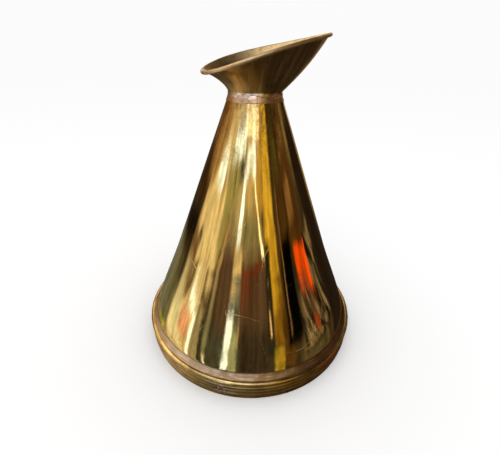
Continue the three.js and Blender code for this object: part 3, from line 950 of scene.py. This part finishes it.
# Front: a dark arch, pale at its crown, with bright posts in it.
ARCH_MIDDLE, ARCH_SPRING = -12, -8  # where it stands, and how high its curve starts
ARCH_HALF_WIDTH, ARCH_RISE = 40, 29
arch_side = (side - ARCH_MIDDLE) / ARCH_HALF_WIDTH
arch_height = sky.node("Math", {0: height - ARCH_SPRING, 1: 0.0}, operation="MAXIMUM") / ARCH_RISE
arch = sky.step((arch_side * arch_side + arch_height * arch_height) ** 0.5, 1.05, 0.95)
shade = sky.mix(sky.step(height, 2, 16), (0.17, 0.115, 0.09), (0.6, 0.53, 0.35))
shade = sky.mix(sky.step(height, -1, -7), shade, (0.11, 0.115, 0.10))
room = sky.mix(arch, room, shade)
room = card(room, (0.62, 0.5, 0.28), (-3, 29), (18, 9), soft=5)
room = card(room, (0.23, 0.19, 0.1), (0, -60), (36, 23), soft=8)
room = card(room, (0.75, 0.58, 0.33), (-3, 20), (12, 3), soft=3)
room = card(room, (0.34, 0.32, 0.22), (-3, 11), (11, 3), soft=4)
room = card(room, (0.085, 0.068, 0.055), (8, -13), (17, 12), soft=2)
room = card(room, (0.15, 0.1, 0.07), (-56, -3.6), (7, 1), tilt=0.15, soft=1)
room = card(room, (0.10, 0.10, 0.08), (-52.5, -15), (2.6, 11), soft=1.2)
room = card(room, (0.42, 0.42, 0.32), (-47, -9), (2, 9), soft=1.2)
room = card(room, (1.1, 1.15, 1.05), (-46.8, -22), (1.5, 4.5), lean=-0.15, soft=1)
room = card(room, (0.62, 0.46, 0.3), (-43.5, 4.5), (1.8, 5.5), lean=0.65, soft=1.2)
room = card(room, (0.5, 0.55, 0.42), (-17, -14), (4.5, 12), soft=1.5)
room = card(room, WHITE, (-24, -13), (3.2, 12.5), lean=0.13, soft=1)
room = card(room, (0.82, 0.68, 0.48), (-19, 4.8), (6, 3.2), soft=1.5)
room = card(room, (0.18, 0.23, 0.26), (-18, 0.8), (6, 0.9), soft=1)
room = card(room, (0.7, 0.62, 0.5), (-12.6, -4), (0.8, 3.6), soft=0.8)
room = card(room, (0.5, 0.45, 0.36), (-9, 35), (8, 5), soft=2)
room = card(room, (0.62, 0.43, 0.14), (14, 27), (9, 13), soft=3)
room = card(room, WHITE, (-19, 15), (2.8, 7.5), lean=0.25, soft=1.4)
room = card(room, WHITE, (-9, 25), (8, 2), tilt=0.3, soft=1.8)
room = card(room, WHITE, (1.5, 25), (4.5, 4), lean=-0.3, soft=2.2)
room = card(room, (1.2, 1.3, 1.3), (-1, 33), (2.5, 5), lean=-0.4, soft=1.8)
room = card(room, (1.9, 2.0, 1.8), (11, 14), (1.3, 9), lean=-1.0, soft=1.3)
room = card(room, (0.24, 0.08, 0.05), (4, 3.6), (17, 1.1), tilt=0.08, soft=1.2)
room = card(room, (0.05, 0.05, 0.035), (24.5, 0), (3, 10), soft=1.5)
room = card(room, (1.0, 0.75, 0.55), (24, -2), (0.7, 2.5), soft=0.7)
# Right: a gold hanging, then a dark doorway with coloured cloth.
room = card(room, (0.86, 0.62, 0.12), (30.2, 21), (8.8, 13), soft=2)
room = card(room, (0.7, 0.48, 0.08), (34, 4), (6, 5), soft=1.5)
room = card(room, (0.33, 0.2, 0.035), (34.5, -4), (7, 4), soft=1.2)
room = card(room, (0.5, 0.38, 0.07), (31.5, -18), (5.5, 9.5), soft=1.2)
room = card(room, (0.17, 0.10, 0.035), (43, -13), (6, 12), soft=2)
room = card(room, (0.13, 0.075, 0.03), (68, 14), (25, 19), soft=3)
room = card(room, (0.13, 0.12, 0.05), (55, 23), (7, 7), soft=4)
room = card(room, (0.17, 0.14, 0.09), (76, -21), (20, 10), soft=3)
room = card(room, (0.004, 0.005, 0.007), (53, -3), (9.5, 8), lean=0.2, soft=2)
room = card(room, (0.4, 0.27, 0.17), (47.5, 4), (0.7, 12), soft=0.9)
room = card(room, (0.36, 0.22, 0.11), (75, 8), (7, 3.6), soft=1.5)
room = card(room, (0.28, 0.18, 0.09), (80, 19), (12, 2.5), soft=2)
fur = sky.cloud(sky.vector(side * 0.22 + height * 0.2, height * 0.1, 0.0), 1, detail=3)
fur = sky.step(fur, 0.44, 0.6)
room = card(room, (0.03, 0.024, 0.02), (90, -12), (28, 9), soft=2)
room = card(room, (0.36, 0.3, 0.23), (90, -12), (27, 8), soft=2, cover=fur)
room = card(room, (0.95, 0.16, 0.02), (79, -4.4), (11, 2.6), tilt=-0.22, soft=1)
room = card(room, (0.45, 0.11, 0.04), (82, -14), (4, 2.4), tilt=-0.3, soft=1.5)
room = card(room, (0.3, 0.24, 0.14), (74, -17.5), (15, 0.7), soft=0.8)
# Behind: the same mix again, for the far side of the jug.
room = card(room, (0.30, 0.22, 0.13), (125, 22), (30, 14), soft=6)
room = card(room, (0.045, 0.032, 0.025), (128, -12), (21, 26), soft=4)
room = card(room, (1.0, 0.82, 0.55), (-150, 37), (34, 14), soft=7)
room = card(room, (0.42, 0.3, 0.16), (163, 8), (16, 28), soft=5)
room = card(room, (0.9, 0.58, 0.1), (151, 17), (5, 15), soft=2.5)
room = card(room, WHITE, (163, 12), (2.5, 17), lean=0.1, soft=1.5)
room = card(room, (0.04, 0.03, 0.025), (171, 0), (3.5, 26), soft=2)
room = card(room, CREAM, (-171, 12), (8, 22), soft=3)
room = card(room, WHITE, (-174, 20), (4, 6), lean=0.5, soft=2)
mottle = sky.cloud(sky.vector(side * 0.12, height * 0.12, 0.0), 1, detail=6, rough=0.65)
streaks = sky.cloud(sky.vector(side * 0.3, height * 0.03, 0.0), 1, detail=4)
worn_light = sky.step(mottle * 0.6 + streaks * 0.4, 0.3, 0.7, 0.55, 1.35)
sockets = {0: 1.0, 6: room, 7: worn_light}
room = sky.node("Mix", sockets, output=2, data_type="RGBA", blend_type="MULTIPLY")
room = sky.node("Gamma", {"Color": room, "Gamma": 1.25})
reflected = sky.node("Background", {"Color": room, "Strength": 1.0})
ray = sky.tree.nodes.new("ShaderNodeLightPath")
from_camera, from_floor = Value(sky.tree, ray.outputs[0]), Value(sky.tree, ray.outputs[2])
white = sky.node("Background", {"Color": (1, 1, 1), "Strength": WHITE_SKY + from_floor * FLOOR_LIFT})
unpainted = sky.node("Math", {0: from_camera, 1: from_floor}, operation="MAXIMUM")
both = sky.node("MixShader", {0: unpainted, 1: reflected, 2: white})
exit_node = sky.tree.nodes.new("ShaderNodeOutputWorld")
join(sky.tree, both, exit_node.inputs["Surface"])

bpy.ops.object.light_add(type="AREA", location=(-0.6, -1.0, 1.5))
top_light = bpy.context.object
top_light.name = "top_light"
top_light.data.size = 1.2
top_light.data.energy = 4
top_light.rotation_euler = (Vector((0, 0, 0.1)) - top_light.location).to_track_quat("-Z", "Y").to_euler()
